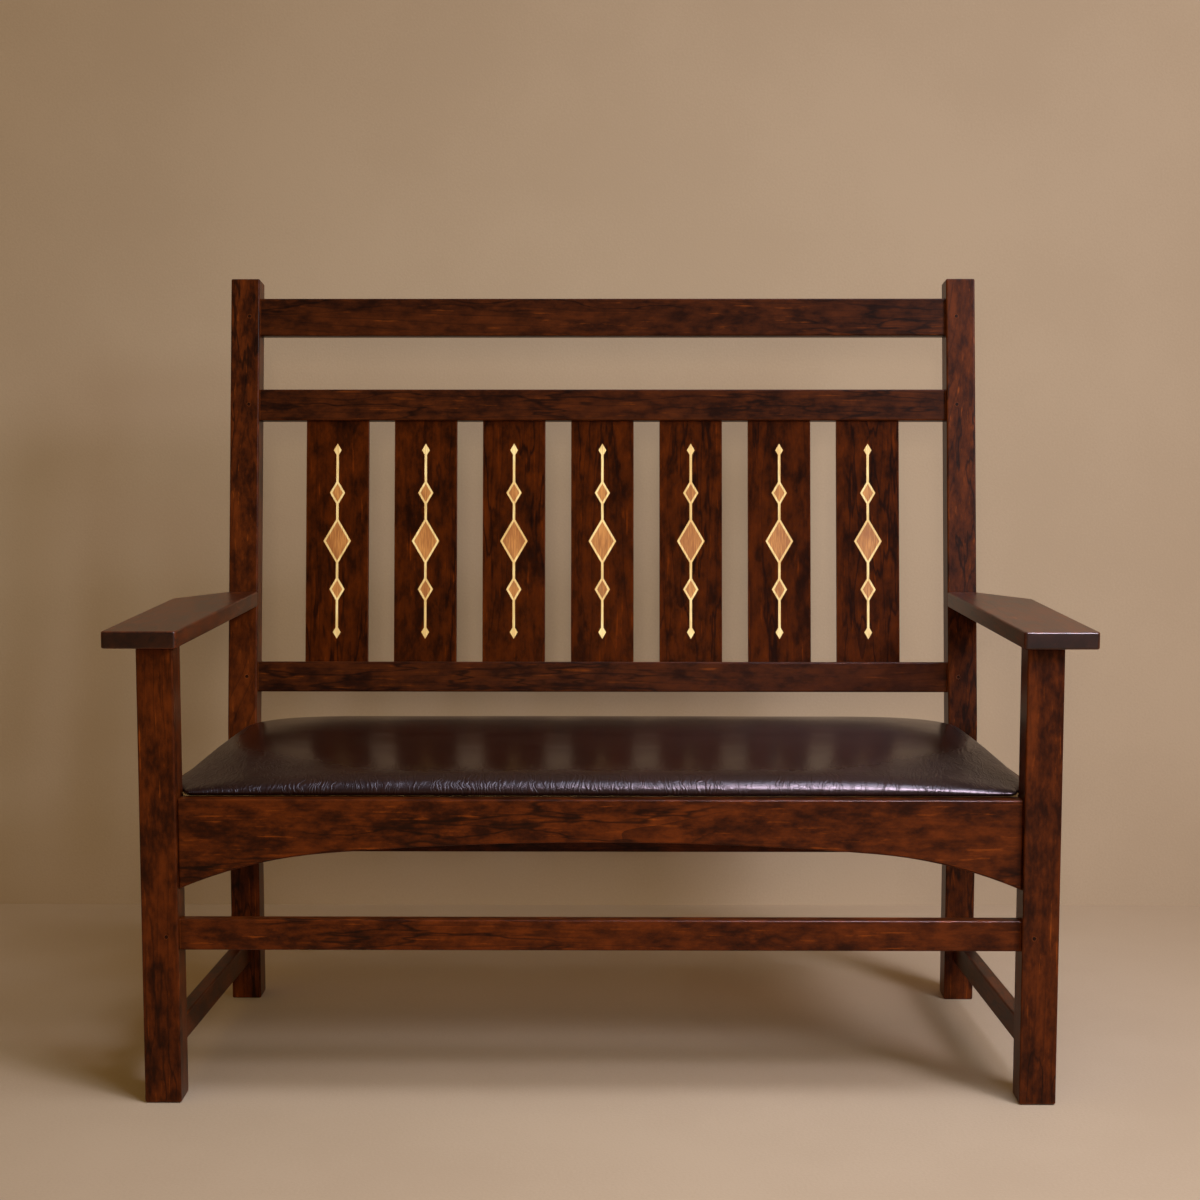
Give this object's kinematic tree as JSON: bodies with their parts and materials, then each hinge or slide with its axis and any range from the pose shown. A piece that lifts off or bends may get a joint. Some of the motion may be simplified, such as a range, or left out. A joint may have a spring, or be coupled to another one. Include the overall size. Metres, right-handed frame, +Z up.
{
  "type": "settee",
  "caption": "Wooden settee with a slatted, leaning back inlaid on each slat, flat arms, an arched front rail, stretchers and a drop-in leather seat.",
  "frame": {"origin": "on the floor, under the middle of the whole object's bounding box", "axes": "+X to the right as seen from the front, front towards -Y, +Z up"},
  "size_m": [1.278, 0.6433, 1.1047],
  "materials": {
    "stained_wood": "dark red-brown stain under satin lacquer",
    "inlay_light": "light wood inlay under satin lacquer",
    "inlay_tan": "tan wood inlay under satin lacquer",
    "leather": "dark brown pebbled leather, semi-gloss",
    "foam": "upholstery foam, hidden",
    "frame_wood": "plain unstained hardwood, hidden",
    "plywood": "plain plywood, hidden",
    "steel": "plated screws and tacks"
  },
  "bodies": {
    "root": {"arm_left": "stained_wood", "arm_right": "stained_wood", "back_post_left": "stained_wood", "back_post_right": "stained_wood", "back_seat_rail": "stained_wood", "back_slat_1": "stained_wood", "back_slat_2": "stained_wood", "back_slat_3": "stained_wood", "back_slat_4": "stained_wood", "back_slat_5": "stained_wood", "back_slat_6": "stained_wood", "back_slat_7": "stained_wood", "back_stretcher": "stained_wood", "corner_block_back_left": "frame_wood", "corner_block_back_right": "frame_wood", "corner_block_front_left": "frame_wood", "corner_block_front_right": "frame_wood", "corner_block_screws": "steel", "cover_tacks": "steel", "crest_rail": "stained_wood", "front_leg_left": "stained_wood", "front_leg_right": "stained_wood", "front_seat_rail": "stained_wood", "front_stretcher": "stained_wood", "inlay_field_1": "inlay_tan", "inlay_field_2": "inlay_tan", "inlay_field_3": "inlay_tan", "inlay_field_4": "inlay_tan", "inlay_field_5": "inlay_tan", "inlay_field_6": "inlay_tan", "inlay_field_7": "inlay_tan", "inlay_line_1": "inlay_light", "inlay_line_2": "inlay_light", "inlay_line_3": "inlay_light", "inlay_line_4": "inlay_light", "inlay_line_5": "inlay_light", "inlay_line_6": "inlay_light", "inlay_line_7": "inlay_light", "joint_pegs": "stained_wood", "ledger_screws": "steel", "lower_back_rail": "stained_wood", "seat_cover": "leather", "seat_deck": "plywood", "seat_foam": "foam", "seat_frame_back": "frame_wood", "seat_frame_brace": "frame_wood", "seat_frame_front": "frame_wood", "seat_frame_left": "frame_wood", "seat_frame_right": "frame_wood", "seat_ledger_back": "frame_wood", "seat_ledger_front": "frame_wood", "seat_screws": "steel", "side_seat_rail_left": "stained_wood", "side_seat_rail_right": "stained_wood", "side_stretcher_left": "stained_wood", "side_stretcher_right": "stained_wood", "upper_back_rail": "stained_wood"}
  },
  "joints": []
}
